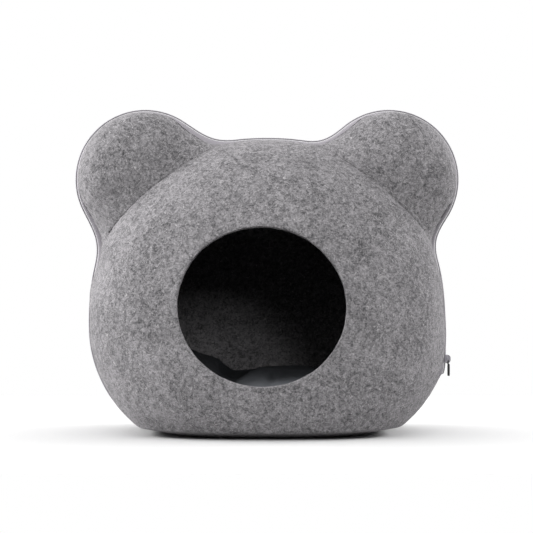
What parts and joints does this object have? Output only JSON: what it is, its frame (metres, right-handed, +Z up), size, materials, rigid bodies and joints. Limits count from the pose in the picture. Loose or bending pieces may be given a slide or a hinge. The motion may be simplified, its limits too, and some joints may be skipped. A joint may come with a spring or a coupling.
{
  "type": "felt cat cave",
  "caption": "Zipped cave of two moulded felt shells in a round-eared head outline, with a round door and a loose cushion inside.",
  "frame": {"origin": "on the floor, under the middle of the cave, in the plane of the zip", "axes": "+Z up; the door faces -Y; +X to the right when looking into the door"},
  "size_m": [0.4601, 0.3379, 0.3863],
  "materials": {
    "felt": "heathered grey pressed felt",
    "zip_tape": "woven tape, matte",
    "zip_coil": "nylon coil",
    "zip_slider": "satin paint",
    "zip_pull": "black moulded pull",
    "cushion": "charcoal woven cover"
  },
  "bodies": {
    "root": {"front_shell": "felt", "back_shell": "felt", "zip_tape_front": "zip_tape", "zip_tape_back": "zip_tape", "zip_coil": "zip_coil", "zip_slider": "zip_slider", "zip_pull": "zip_pull", "cushion": "cushion"}
  },
  "joints": []
}
